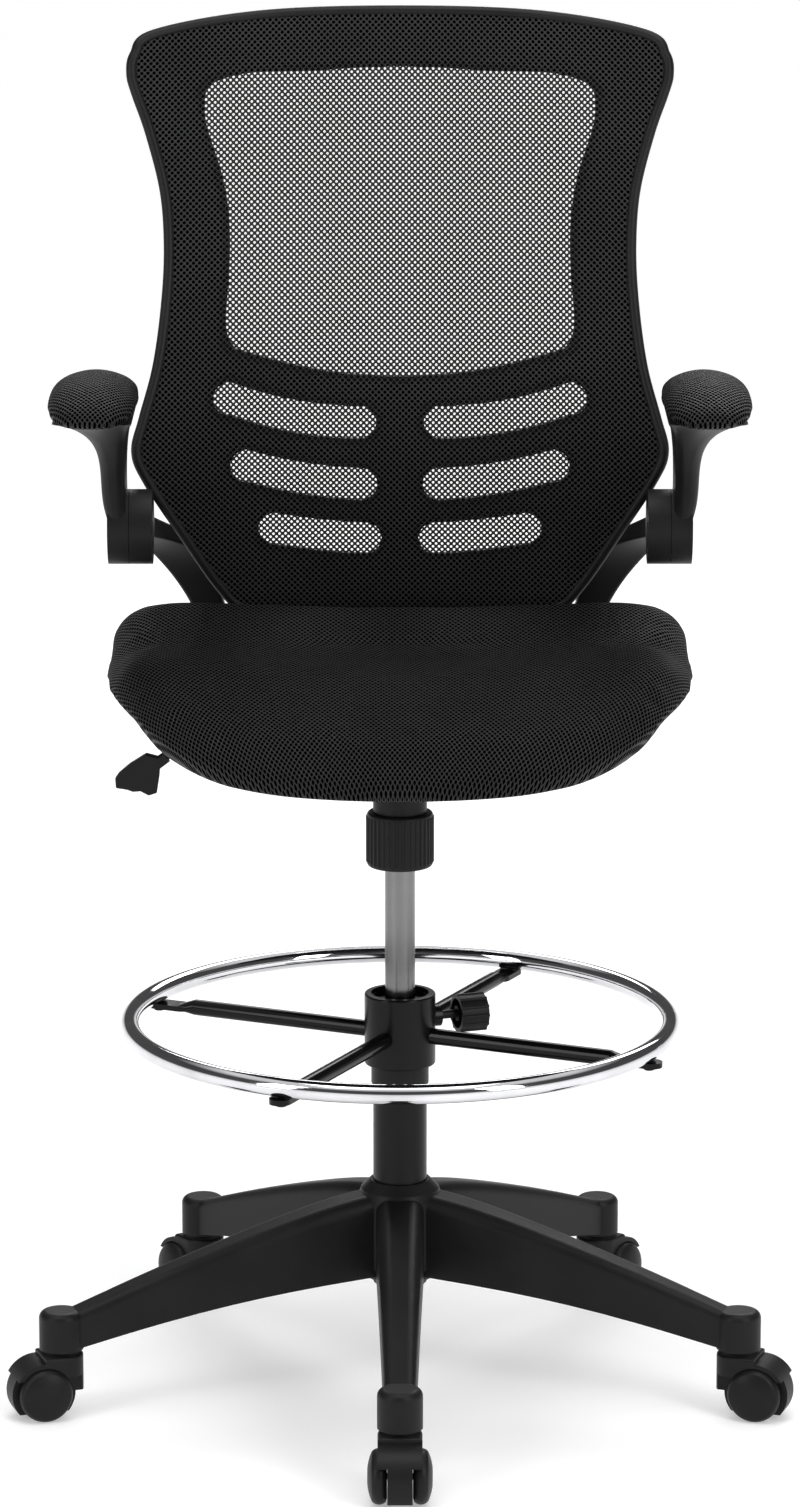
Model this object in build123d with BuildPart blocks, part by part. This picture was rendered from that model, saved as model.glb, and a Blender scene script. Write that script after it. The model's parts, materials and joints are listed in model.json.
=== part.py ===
from build123d import *
import os
from math import atan2, cos, degrees, radians, sin

os.makedirs("parts", exist_ok=True)

# Drafting chair, in millimetres. The origin is on the floor under the column.
# +X is the sitter's left, +Y points from the seat's front to its back, +Z is up.

# ---- Driving dimensions: base and castors ----
leg_count = 5
leg_angles = [-90 + 72 * i for i in range(leg_count)]
stem_circle = 328
boss_radius, boss_bottom, boss_top = 20.5, 63.6, 100
hub_radius, hub_shoulder_radius = 33.5, 39.5
hub_bottom, hub_top = 103, 196.5
leg_wall = 3.5
wheel_radius, wheel_inner_y, wheel_outer_y = 25, 11.5, 29
caster_trail = 20
hood_radius, hood_half_width, hood_top = 30, 19.8, 59.5
stem_radius, axle_radius = 5.5, 3.0
running_gap = 0.05
soft_gap = 0.3

# ---- Driving dimensions: column, gas spring and foot ring ----
column_radius, column_wall, column_bottom, column_top = 25, 2, 96, 365
cylinder_radius, cylinder_bottom, cylinder_top = 14, 232, 585
rod_radius, piston_bottom, piston_top = 5, 325, 340
ring_radius, ring_tube_radius, ring_height = 250.7, 9, 348
ring_hub_radius, ring_hub_bottom, ring_hub_top = 33, 308, 375.5
ring_bush_radius, ring_bush_bottom, ring_bush_top = 26.75, 289, 372
spoke_radius, spoke_height, spoke_count, spoke_start = 7.5, 337, 4, 65
ring_lock_angle, ring_lock_height = 20, 350

# ---- Driving dimensions: tilt mechanism ----
floor_low, floor_high = 588.5, 591.5
housing_half_width, housing_front, housing_rear = 65, -115, 60
tilt_y, tilt_z, tilt_limit = -35, 600, 15
knob_y, knob_radius, knob_low, knob_high = -80, 31, 516, 566.5
neck_radius = 24.5
plate_low, plate_high = 624, 628
lever_z, lever_pivot_x = 596.5, -72
paddle_y = -50

# ---- Driving dimensions: seat ----
seat_half_width, seat_front, seat_rear = 271, -270, 210
seat_low, seat_side_low, seat_high = 613, 660, 695
board_half_width, board_low, board_high = 170, 628, 640

# ---- Driving dimensions: back ----
back_sagitta = 0.00072
mesh_thickness, shell_thickness = 2.8, 9
spine_heights = [680, 760, 830, 900, 1000, 1100, 1200, 1265]
spine_depths = [232, 222, 216, 220, 240, 268, 300, 319]
back_outline = [
    (151, 690), (174, 712), (209, 767), (242, 822), (252, 850), (245, 881), (232, 928),
    (224, 983), (221, 1037), (225, 1092), (239, 1147), (252, 1184), (257, 1202),
]
back_crown = [(254, 1220), (235, 1238), (136, 1253), (0, 1256.5)]
back_bottom, back_middle = 684, 970
trim_width = 6
window_outline = [
    (155, 944), (163, 960), (163, 984), (160, 1030), (162, 1075), (171, 1115), (184, 1170),
]
window_crown = [(180, 1183), (168, 1190), (100, 1196), (0, 1200)]
window_sill = [(0, 916), (61, 920), (113, 931), (155, 944)]
slot_half_height = 15.5
slot_rows = [
    [(38, 873), (101, 880), (160, 898)],
    [(37, 814), (89, 820), (144, 834)],
    [(33, 761), (76, 765), (118, 772)],
]

# ---- Driving dimensions: arms and side brackets ----
arm_pivot_y, arm_pivot_z, arm_block_radius = 135, 789, 35
block_inner, block_outer, arm_outer = 230.5, 252, 272
shell_bolt_x, shell_bolt_z, shell_boss_end, shell_bolt_seat = 179, 748, 234, 260
seat_bolt_x, seat_bolt_depths = 149, (50, 110)
pad_inner, pad_outer, pad_front, pad_rear = 235, 318, -150, 96
pad_low, pad_high = 922, 958


def finish(piece, name):
    """Label a finished piece and write its STEP file."""
    piece.part.label = name
    export_step(piece.part, f"parts/{name}.step")


def depth(z):
    """Depth of the back's front face on its centre line at height z."""
    for i in range(len(spine_heights) - 1):
        if z <= spine_heights[i + 1]:
            break
    t = (z - spine_heights[i]) / (spine_heights[i + 1] - spine_heights[i])
    return spine_depths[i] + t * (spine_depths[i + 1] - spine_depths[i])


def back_face_y(x, z):
    """Depth of the back's front face at (x, z): its sides come forward."""
    return depth(z) - back_sagitta * x * x


# ==== Base ====


def leg_top(r):
    """Height of a leg's ridge at radius r: a gentle arch down to the castor boss."""
    return 187 - 85 * max((r - 30) / 280, 0) ** 1.2


def leg_bottom(r):
    """Height of a leg's lower edge at radius r: it falls outwards and bows up a little."""
    return 110 - 44 * (r - 20) / 290 + 7 * sin(radians(180 * (r - 20) / 300))


def leg_width(r):
    """Width of a leg at radius r."""
    return 45 - 16 * (r - 20) / 300


leg_stations = [20, 80, 140, 200, 260, 320]
pocket_stations = [46, 98, 150, 202, 254, 302]
rib_half = 1.5

with BuildPart() as leg:
    for r in leg_stations:
        with BuildSketch(Plane.YZ.offset(r)) as leg_section:
            with Locations((0, (leg_top(r) + leg_bottom(r)) / 2)):
                Rectangle(leg_width(r), leg_top(r) - leg_bottom(r))
            fillet(leg_section.vertices().group_by(Axis.Y)[-1], 0.3 * leg_width(r))
    loft()
    with Locations((stem_circle, 0, boss_bottom)):
        Cylinder(boss_radius, boss_top - boss_bottom, align=(Align.CENTER, Align.CENTER, Align.MIN))
    fillet(leg.edges().filter_by(GeomType.CIRCLE).group_by(Axis.Z)[-1], 7)

with BuildPart() as leg_pockets:
    for start, end in zip(pocket_stations, pocket_stations[1:]):
        for r in (start + rib_half, end - rib_half):
            with BuildSketch(Plane.YZ.offset(r)) as pocket_section:
                roof = leg_top(r) - leg_wall - 1.5
                sill = leg_bottom(r) - 8
                with Locations((0, (roof + sill) / 2)):
                    Rectangle(leg_width(r) - 2 * leg_wall, roof - sill)
                fillet(pocket_section.vertices().group_by(Axis.Y)[-1], 0.24 * leg_width(r))
        loft(ruled=True)

with BuildPart() as base_star:
    with BuildSketch(Plane.XZ) as hub_section:
        with BuildLine():
            Polyline(
                (column_radius, hub_bottom), (hub_radius - 2, hub_bottom), (hub_radius, hub_bottom + 2),
                (hub_shoulder_radius, 116), (hub_shoulder_radius, 180), (hub_radius + 3, 188),
                (hub_radius - 2, 193), (column_radius + 3, hub_top), (column_radius, hub_top), close=True,
            )
        make_face()
    revolve(axis=Axis.Z)
    with PolarLocations(0, leg_count, start_angle=leg_angles[0]):
        add(leg.part)
    with PolarLocations(0, leg_count, start_angle=leg_angles[0]):
        add(leg_pockets.part, mode=Mode.SUBTRACT)
    with Locations((0, 0, hub_bottom - 20)):
        Cylinder(
            column_radius, hub_top - hub_bottom + 40,
            align=(Align.CENTER, Align.CENTER, Align.MIN), mode=Mode.SUBTRACT,
        )
    with PolarLocations(stem_circle, leg_count, start_angle=leg_angles[0]):
        with Locations((0, 0, boss_bottom)):
            Cylinder(
                stem_radius + running_gap, 31,
                align=(Align.CENTER, Align.CENTER, Align.MIN), mode=Mode.SUBTRACT,
            )
finish(base_star, "base_star")

# ==== Castors: made at the origin with the trail along +X, then placed on each leg ====

upright = (Align.CENTER, Align.CENTER, Align.MIN)
across = (90, 0, 0)

with BuildPart() as hood_form:
    with Locations((caster_trail, 0, wheel_radius)):
        Cylinder(hood_radius, 2 * hood_half_width, rotation=across)
    with BuildSketch(Plane.XY.offset(wheel_radius)):
        with BuildLine():
            Line((0, boss_radius - 0.5), (caster_trail, hood_half_width))
            Line((caster_trail, hood_half_width), (caster_trail, -hood_half_width))
            Line((caster_trail, -hood_half_width), (0, -boss_radius + 0.5))
            ThreePointArc((0, -boss_radius + 0.5), (-boss_radius + 0.5, 0), (0, boss_radius - 0.5))
        make_face()
    extrude(amount=hood_top - wheel_radius)
    fillet(hood_form.faces().sort_by(Axis.Z)[-1].edges(), 2.5)
    for side in (-1, 1):
        with Locations((caster_trail, side * (wheel_inner_y - soft_gap + 15), wheel_radius)):
            Cylinder(wheel_radius + 0.8, 30, rotation=across, mode=Mode.SUBTRACT)
        with Locations((caster_trail, side * (wheel_inner_y - soft_gap + 15), -6)):
            Box(90, 30, 46, align=upright, mode=Mode.SUBTRACT)
    with Locations((caster_trail, 0, -10)):
        Box(90, 60, 16, align=upright, mode=Mode.SUBTRACT)
    with Locations((0, 0, 40)):
        Cylinder(stem_radius, 40, align=upright, mode=Mode.SUBTRACT)
    with Locations((caster_trail, 0, wheel_radius)):
        Cylinder(axle_radius, 80, rotation=across, mode=Mode.SUBTRACT)

with BuildPart() as pins_form:
    with Locations((0, 0, 40)):
        Cylinder(stem_radius, 53, align=upright)
    chamfer(pins_form.edges().group_by(Axis.Z)[-1], 1.2)
    with Locations((0, 0, 60.2)):
        Cylinder(8, 2.6, align=upright)
    with Locations((caster_trail, 0, wheel_radius)):
        Cylinder(axle_radius, 2 * 26, rotation=across)

with BuildPart() as wheel_form:
    with BuildSketch(Plane.XY) as wheel_section:
        with BuildLine():
            Line((0, wheel_inner_y), (wheel_radius - 6, wheel_inner_y))
            Line((wheel_radius - 6, wheel_inner_y), (wheel_radius - 2.5, wheel_inner_y + 1))
            ThreePointArc(
                (wheel_radius - 2.5, wheel_inner_y + 1), (wheel_radius, wheel_inner_y + 7),
                (wheel_radius - 3, wheel_inner_y + 13.5),
            )
            ThreePointArc(
                (wheel_radius - 3, wheel_inner_y + 13.5), (13, wheel_outer_y - 0.9), (3, wheel_outer_y)
            )
            Line((3, wheel_outer_y), (0, wheel_outer_y))
            Line((0, wheel_outer_y), (0, wheel_inner_y))
        make_face()
    revolve(axis=Axis.Y)
    with Locations((0, wheel_inner_y, 0)):
        Cylinder(
            axle_radius + running_gap, 14.8, rotation=across,
            align=(Align.CENTER, Align.CENTER, Align.MAX), mode=Mode.SUBTRACT,
        )
    with BuildSketch(Plane.XZ.offset(-wheel_inner_y)):
        Circle(18.5)
        Circle(8, mode=Mode.SUBTRACT)
    extrude(amount=-6, mode=Mode.SUBTRACT)

for number, angle in enumerate(leg_angles, 1):
    stem = Location(
        (stem_circle * cos(radians(angle)), stem_circle * sin(radians(angle)), 0), (0, 0, angle)
    )
    wheels = {
        f"caster_wheel_left_{number}": Location((caster_trail, 0, wheel_radius)),
        f"caster_wheel_right_{number}": Location((caster_trail, 0, wheel_radius), (0, 0, 180)),
    }
    with BuildPart() as caster_hood:
        with Locations(stem):
            add(hood_form.part)
    finish(caster_hood, f"caster_hood_{number}")
    with BuildPart() as caster_pins:
        with Locations(stem):
            add(pins_form.part)
    finish(caster_pins, f"caster_pins_{number}")
    for name, seat in wheels.items():
        with BuildPart() as caster_wheel:
            with Locations(stem * seat):
                add(wheel_form.part)
        finish(caster_wheel, name)

# ==== Column ====

with BuildPart() as column_tube:
    with Locations((0, 0, column_bottom)):
        Cylinder(column_radius, column_top - column_bottom, align=upright)
    chamfer(column_tube.edges().group_by(Axis.Z)[0], 1)
    with Locations((0, 0, column_bottom + 3)):
        Cylinder(column_radius - column_wall, 300, align=upright, mode=Mode.SUBTRACT)
    with Locations((0, 0, column_bottom)):
        Cylinder(rod_radius + 1, 10, align=upright, mode=Mode.SUBTRACT)
finish(column_tube, "column_tube")

bush_low = column_top - 60
with BuildPart() as guide_bush:
    with Locations((0, 0, bush_low)):
        Cylinder(column_radius - column_wall, column_top - bush_low, align=upright)
    with Locations((0, 0, column_top)):
        Cylinder(column_radius, 3, align=upright)
    chamfer(guide_bush.edges().group_by(Axis.Z)[-1], 1)
    with Locations((0, 0, bush_low)):
        Cylinder(cylinder_radius + running_gap, 80, align=upright, mode=Mode.SUBTRACT)
finish(guide_bush, "guide_bush")

with BuildPart() as thrust_bearing:
    with Locations((0, 0, column_bottom + 3)):
        Cylinder(12, 6, align=upright)
        Cylinder(rod_radius + running_gap, 6, align=upright, mode=Mode.SUBTRACT)
    chamfer(thrust_bearing.edges().filter_by(GeomType.CIRCLE).group_by(SortBy.RADIUS)[-1], 0.8)
finish(thrust_bearing, "thrust_bearing")

with BuildPart() as retaining_clip:
    with BuildSketch(Plane.XY.offset(column_bottom - 2.2)):
        Circle(9)
        Circle(rod_radius, mode=Mode.SUBTRACT)
        with Locations((8, 0)):
            Rectangle(10, 3, mode=Mode.SUBTRACT)
    extrude(amount=2)
finish(retaining_clip, "retaining_clip")

# ==== Gas spring ====

with BuildPart() as piston_rod:
    with Locations((0, 0, column_bottom - 5)):
        Cylinder(rod_radius, piston_bottom - column_bottom + 5, align=upright)
    with Locations((0, 0, piston_bottom)):
        Cylinder(11.8, piston_top - piston_bottom, align=upright)
    with Locations((0, 0, column_bottom + 9.3)):
        Cylinder(8, 4, align=upright)
    chamfer(piston_rod.edges().group_by(Axis.Z)[0], 1)
finish(piston_rod, "piston_rod")

with BuildPart() as gas_cylinder:
    with Locations((0, 0, cylinder_bottom)):
        Cylinder(cylinder_radius, cylinder_top - cylinder_bottom, align=upright)
    chamfer(gas_cylinder.edges().group_by(Axis.Z)[-1], 2)
    with Locations((0, 0, cylinder_bottom + 10)):
        Cylinder(12, cylinder_top - cylinder_bottom - 40, align=upright, mode=Mode.SUBTRACT)
    with Locations((0, 0, cylinder_bottom)):
        Cylinder(rod_radius + running_gap, 12, align=upright, mode=Mode.SUBTRACT)
    with Locations((0, 0, cylinder_top - 20)):
        Cylinder(4 + running_gap, 30, align=upright, mode=Mode.SUBTRACT)
finish(gas_cylinder, "gas_cylinder")

with BuildPart() as release_pin:
    with Locations((0, 0, cylinder_top - 12)):
        Cylinder(4, 19, align=upright)
    fillet(release_pin.edges().group_by(Axis.Z)[-1], 1.5)
finish(release_pin, "release_pin")

# ==== Foot ring ====

lock_direction = Vector(cos(radians(ring_lock_angle)), sin(radians(ring_lock_angle)), 0)


def lock_plane(distance):
    """Plane across the lock knob's axis, at a distance from the column's axis."""
    return Plane(
        origin=lock_direction * distance + Vector(0, 0, ring_lock_height), z_dir=lock_direction
    )


with BuildPart() as ring_bush:
    with BuildSketch(Plane.XY.offset(ring_bush_bottom)):
        Circle(ring_bush_radius)
        Circle(column_radius + 0.1, mode=Mode.SUBTRACT)
    extrude(amount=ring_bush_top - ring_bush_bottom)
    chamfer(ring_bush.edges().filter_by(GeomType.CIRCLE).group_by(Axis.Z)[0].sort_by(SortBy.RADIUS)[-1], 0.7)
finish(ring_bush, "ring_bush")

with BuildPart() as ring_hub:
    with Locations((0, 0, ring_hub_bottom)):
        Cylinder(ring_hub_radius, ring_hub_top - ring_hub_bottom, align=upright)
    fillet(ring_hub.edges().filter_by(GeomType.CIRCLE), 2)
    with BuildSketch(lock_plane(28)):
        Circle(10)
    extrude(amount=11)
    with Locations((0, 0, ring_hub_bottom)):
        Cylinder(ring_bush_radius + running_gap, 100, align=upright, mode=Mode.SUBTRACT)
    with BuildSketch(lock_plane(20)):
        Circle(4.1)
    extrude(amount=40, mode=Mode.SUBTRACT)
finish(ring_hub, "ring_hub")

with BuildPart() as foot_ring:
    with BuildSketch(Plane.XZ):
        with Locations((ring_radius, ring_height)):
            Circle(ring_tube_radius)
    revolve(axis=Axis.Z)
    with PolarLocations(ring_radius, spoke_count, start_angle=spoke_start):
        with Locations((0, 0, ring_height - ring_tube_radius - 2)):
            Cylinder(3, 9, align=upright, mode=Mode.SUBTRACT)
finish(foot_ring, "foot_ring")

tab_low, tab_thickness = 333.4, 5
with BuildPart() as spoke:
    with BuildSketch(Plane.YZ.offset(ring_hub_radius - 0.5)):
        with Locations((0, spoke_height)):
            Circle(spoke_radius)
    extrude(amount=180)
    with BuildSketch(Plane.YZ.offset(ring_hub_radius + 179.5)):
        with Locations((0, spoke_height)):
            Circle(spoke_radius)
    with BuildSketch(Plane.YZ.offset(ring_hub_radius + 196)):
        with Locations((0, tab_low + tab_thickness / 2)):
            Ellipse(10, 2.6)
    loft()
    with BuildSketch(Plane.XY.offset(tab_low)):
        with Locations((240, 0)):
            SlotOverall(46, 20)
    extrude(amount=tab_thickness)
    with Locations((ring_radius, 0, tab_low - 1)):
        Cylinder(3.1, 10, align=upright, mode=Mode.SUBTRACT)
    with Locations((ring_radius, 0, ring_height)):
        Cylinder(ring_tube_radius + 0.1, 60, rotation=across, mode=Mode.SUBTRACT)
with BuildPart() as ring_spokes:
    with PolarLocations(0, spoke_count, start_angle=spoke_start):
        add(spoke.part)
    with Locations((0, 0, ring_hub_bottom)):
        Cylinder(ring_hub_radius, 100, align=upright, mode=Mode.SUBTRACT)
finish(ring_spokes, "ring_spokes")

with BuildPart() as ring_screws:
    with PolarLocations(ring_radius, spoke_count, start_angle=spoke_start):
        with Locations((0, 0, tab_low - 3)):
            Cylinder(5.5, 3, align=upright)
        with Locations((0, 0, tab_low)):
            Cylinder(2.95, 11, align=upright)
    chamfer(ring_screws.edges().group_by(Axis.Z)[0], 1)
finish(ring_screws, "ring_screws")

with BuildPart() as ring_lock_knob:
    with BuildSketch(lock_plane(56)):
        Circle(17)
        with PolarLocations(16.6, 12):
            Circle(1.8)
    extrude(amount=27)
    fillet(ring_lock_knob.faces().sort_by(Axis((0, 0, 0), lock_direction))[-1].edges(), 1.2)
    with BuildSketch(lock_plane(56)):
        Circle(14)
        Circle(7, mode=Mode.SUBTRACT)
    extrude(amount=20, mode=Mode.SUBTRACT)
    with BuildSketch(lock_plane(28)):
        Circle(4)
    extrude(amount=40)
finish(ring_lock_knob, "ring_lock_knob")

# ==== Tilt mechanism ====

cup_radius, cup_top = 28, 599
tilt_drop = sin(radians(tilt_limit)) / cos(radians(tilt_limit))
wall_front_top = plate_low - 1
wall_rear_top = wall_front_top - (housing_rear - tilt_y) * tilt_drop - 2
tab_x = housing_half_width - 9

with BuildPart() as mechanism_housing:
    with BuildSketch(Plane.XY.offset(floor_low)):
        with Locations((0, (housing_front + housing_rear) / 2)):
            RectangleRounded(2 * housing_half_width, housing_rear - housing_front, 16)
    extrude(amount=wall_front_top - floor_low)
    with BuildSketch(Plane.XY.offset(floor_high)):
        with Locations((0, (housing_front + housing_rear) / 2)):
            RectangleRounded(2 * housing_half_width - 6, housing_rear - housing_front - 6, 13)
    extrude(amount=60, mode=Mode.SUBTRACT)
    with BuildSketch(Plane.YZ.offset(-100)):
        Polygon(
            (tilt_y, wall_front_top), (housing_rear + 20, wall_rear_top - 5),
            (housing_rear + 20, 700), (tilt_y, 700), align=None,
        )
    extrude(amount=200, mode=Mode.SUBTRACT)
    with Locations((0, 0, 530)):
        Cone(19, 24, floor_low - 530, align=upright)
    with Locations((0, 0, floor_low)):
        Cylinder(24, 4, align=upright)
    with Locations((0, 0, 500)):
        Cylinder(cylinder_radius + running_gap, 120, align=upright, mode=Mode.SUBTRACT)
    with Locations((0, knob_y, floor_high)):
        Cylinder(cup_radius, cup_top - floor_high, align=upright)
    with Locations((0, knob_y, floor_low - 1)):
        Cylinder(neck_radius + 0.7, cup_top - floor_low - 2, align=upright, mode=Mode.SUBTRACT)
    with Locations((0, knob_y, cup_top - 5)):
        Cylinder(4.5, 12, align=upright, mode=Mode.SUBTRACT)
    with BuildSketch(Plane.YZ.offset(-100)):
        with Locations((tilt_y, tilt_z)):
            Circle(5)
    extrude(amount=200, mode=Mode.SUBTRACT)
    with Locations((-housing_half_width, 0, lever_z)):
        Box(12, 11, 15, mode=Mode.SUBTRACT)
    with Locations((-20, 0, 590)):
        Box(80, 11, 10, mode=Mode.SUBTRACT)
    for side in (-1, 1):
        with Locations((-housing_half_width - 7, side * 10.5, lever_z)):
            Box(14.5, 3, 14)
    with Locations((lever_pivot_x, 0, lever_z)):
        Cylinder(2 + running_gap, 40, rotation=across, mode=Mode.SUBTRACT)
finish(mechanism_housing, "mechanism_housing")

with BuildPart() as tilt_pin:
    with Locations((0, tilt_y, tilt_z)):
        Cylinder(5, 2 * housing_half_width + 8, rotation=(0, 90, 0))
    chamfer(tilt_pin.edges().filter_by(GeomType.CIRCLE), 1)
finish(tilt_pin, "tilt_pin")

yoke_low, yoke_thickness, yoke_x = 600.5, 3, 20
with BuildPart() as seat_plate:
    with BuildSketch(Plane.XY.offset(plate_low)):
        with Locations((0, -8)):
            RectangleRounded(220, 214, 14)
        with Locations((0, -8)):
            with GridLocations(190, 180, 2, 2):
                Circle(3.4, mode=Mode.SUBTRACT)
    extrude(amount=plate_high - plate_low)
    for side in (-1, 1):
        with BuildSketch(Plane.YZ.offset(side * tab_x - 1.5)):
            with Locations((tilt_y, tilt_z)):
                Circle(8)
            with Locations((tilt_y, (tilt_z + plate_low) / 2 + 0.5)):
                Rectangle(16, plate_low - tilt_z + 1)
            with Locations((tilt_y, tilt_z)):
                Circle(5 + running_gap, mode=Mode.SUBTRACT)
        extrude(amount=3)
        with Locations((side * yoke_x, knob_y, yoke_low)):
            Box(3, 22, plate_low - yoke_low + 0.5, align=upright)
    with BuildSketch(Plane.XY.offset(yoke_low)):
        with Locations((0, knob_y)):
            Rectangle(2 * yoke_x + 3, 22)
            SlotOverall(18, 9.6, rotation=90, mode=Mode.SUBTRACT)
    extrude(amount=yoke_thickness)
finish(seat_plate, "seat_plate")

bolt_head_low = yoke_low + yoke_thickness + 2.6
with BuildPart() as tension_bolt:
    with Locations((0, knob_y, 532)):
        Cylinder(4, bolt_head_low - 532 + 1, align=upright)
    with BuildSketch(Plane.XY.offset(bolt_head_low)):
        with Locations((0, knob_y)):
            RegularPolygon(7, 6)
    extrude(amount=4.5)
finish(tension_bolt, "tension_bolt")

neck_top = 584
spring_wire = 2.4
spring_radius = 15
spring_low, spring_high = 528, cup_top - 3
spring_turns = 7
with BuildPart() as tilt_spring:
    with BuildLine():
        coil = Helix(
            pitch=(spring_high - spring_low - 2 * spring_wire) / spring_turns,
            height=spring_high - spring_low - 2 * spring_wire - 0.4,
            radius=spring_radius, center=(0, knob_y, spring_low + spring_wire + 0.2),
        )
    with BuildSketch(Plane(origin=coil @ 0, z_dir=coil % 0)):
        Circle(spring_wire)
    sweep(is_frenet=True)
finish(tilt_spring, "tilt_spring")

with BuildPart() as tension_knob:
    with Locations((0, knob_y, knob_low)):
        Cylinder(knob_radius - 1, knob_high - knob_low, align=upright)
    fillet(tension_knob.edges().filter_by(GeomType.CIRCLE), 3)
    with Locations((0, knob_y, knob_low + 4)):
        with PolarLocations(knob_radius - 1.3, 36):
            Cylinder(1.3, knob_high - knob_low - 8, align=upright)
    with Locations((0, knob_y, knob_high - 1)):
        Cylinder(neck_radius, neck_top - knob_high + 1, align=upright)
    with Locations((0, knob_y, spring_low)):
        Cylinder(20.5, 80, align=upright, mode=Mode.SUBTRACT)
    with Locations((0, knob_y, knob_low + 3)):
        Cylinder(4 + running_gap, 80, align=upright, mode=Mode.SUBTRACT)
finish(tension_knob, "tension_knob")

with BuildPart() as lever_bush:
    with Locations((lever_pivot_x, 0, lever_z)):
        Cylinder(6, 16, rotation=across)
        Cylinder(2, 26, rotation=across)
        Cylinder(3.5 + running_gap, 30, rotation=(0, 90, 0), mode=Mode.SUBTRACT)
finish(lever_bush, "lever_bush")

rod_inner_x = 14
rod_bend = Vector(-204, paddle_y, 617)
rod_end = Vector(-226, paddle_y, 600)
with BuildPart() as lift_lever_rod:
    with BuildLine() as rod_path:
        FilletPolyline(
            (rod_inner_x, 0, lever_z), (-108, 0, lever_z), (-150, paddle_y, lever_z + 1),
            rod_bend, rod_end, radius=18,
        )
    with BuildSketch(Plane(origin=rod_path.line @ 0, z_dir=rod_path.line % 0)):
        Circle(3.5)
    sweep()
finish(lift_lever_rod, "lift_lever_rod")

collar_start = rod_bend + (rod_end - rod_bend).normalized() * 11
paddle_outline = [
    (-231, 613.5), (-218, 610), (-219, 593), (-221.5, 577), (-229, 574.5), (-236.5, 578.5),
    (-243.5, 578), (-249, 580), (-259, 581.5), (-259.5, 590.5), (-256, 595.5), (-246, 604),
]
with BuildPart() as lift_lever_handle:
    with BuildSketch(Plane.XZ.offset(-paddle_y - 4.5)) as paddle:
        Polygon(*paddle_outline, align=None)
        fillet(paddle.vertices(), 2)
    extrude(amount=9)
    fillet(lift_lever_handle.edges().group_by(Axis.Y)[0], 1.6)
    fillet(lift_lever_handle.edges().group_by(Axis.Y)[-1], 1.6)
    with BuildSketch(Plane(origin=collar_start, z_dir=rod_end - rod_bend)):
        Circle(5.4)
    extrude(amount=14)
    with BuildSketch(Plane(origin=collar_start, z_dir=rod_end - rod_bend)):
        Circle(3.5)
    extrude(amount=(rod_end - collar_start).length, mode=Mode.SUBTRACT)
finish(lift_lever_handle, "lift_lever_handle")

# ==== Seat ====


def seat_plan(inset):
    """The seat's outline from above, drawn inwards by inset: bowed front, fuller waist."""
    w = seat_half_width - inset
    front = seat_front + inset
    rear = seat_rear - inset
    with BuildSketch() as plan:
        with BuildLine():
            Spline(
                (0, front), (0.55 * w, front + 18), (0.86 * w, front + 66), (w, -70), (0.97 * w, 80),
                (0.86 * w, rear - 34), (0.5 * w, rear), (-0.5 * w, rear), (-0.86 * w, rear - 34),
                (-0.97 * w, 80), (-w, -70), (-0.86 * w, front + 66), (-0.55 * w, front + 18), periodic=True,
            )
        make_face()
    return plan.sketch_local


with BuildPart() as seat_board:
    with BuildSketch(Plane.XY.offset(board_low)):
        add(seat_plan(60))
        Rectangle(2 * board_half_width, 600, mode=Mode.INTERSECT)
    extrude(amount=board_high - board_low)
finish(seat_board, "seat_board")

with BuildPart() as seat_cushion:
    with BuildSketch(Plane.XY.offset(seat_low - 5)):
        add(seat_plan(0))
    extrude(amount=seat_high - seat_low + 5)
    fillet(seat_cushion.faces().sort_by(Axis.Z)[-1].edges(), 22)
    with BuildSketch(Plane.XZ) as underside:
        with BuildLine():
            Line((-330, 500), (330, 500))
            Line((330, 500), (330, seat_side_low + 12))
            ThreePointArc((330, seat_side_low + 12), (0, seat_low), (-330, seat_side_low + 12))
            Line((-330, seat_side_low + 12), (-330, 500))
        make_face()
    extrude(amount=400, both=True, mode=Mode.SUBTRACT)
    with BuildSketch(Plane.XY.offset(500)):
        add(seat_plan(56))
        Rectangle(2 * board_half_width + 8, 600, mode=Mode.INTERSECT)
    extrude(amount=board_high - 500, mode=Mode.SUBTRACT)
finish(seat_cushion, "seat_cushion")

with BuildPart() as seat_cover:
    with BuildSketch(Plane.XY.offset(board_low - 3)):
        add(seat_plan(64))
        Rectangle(2 * board_half_width - 8, 600, mode=Mode.INTERSECT)
        with Locations((0, -8)):
            Rectangle(224, 218, mode=Mode.SUBTRACT)
    extrude(amount=3)
finish(seat_cover, "seat_cover")

with BuildPart() as seat_bolts:
    with Locations((0, -8, plate_low - 4)):
        with GridLocations(190, 180, 2, 2):
            Cylinder(6, 4, align=upright)
    with Locations((0, -8, plate_low)):
        with GridLocations(190, 180, 2, 2):
            Cylinder(3.2, plate_high - plate_low, align=upright)
finish(seat_bolts, "seat_bolts")

# ==== Back ====


def back_slab(near, far):
    """A curved slab that follows the back's face, from near to far behind it."""
    edge = 300
    with BuildPart() as slab:
        for z, y in zip(spine_heights, spine_depths):
            side_y = y - back_sagitta * edge * edge
            with BuildSketch(Plane.XY.offset(z)):
                with BuildLine():
                    ThreePointArc((-edge, side_y + near), (0, y + near), (edge, side_y + near))
                    Line((edge, side_y + near), (edge, side_y + far))
                    ThreePointArc((edge, side_y + far), (0, y + far), (-edge, side_y + far))
                    Line((-edge, side_y + far), (-edge, side_y + near))
                make_face()
        loft()
    return slab.part


def mirrored(points):
    """The same points on the -X side, in reverse order."""
    return [(-x, z) for x, z in reversed(points) if x > 0]


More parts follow.
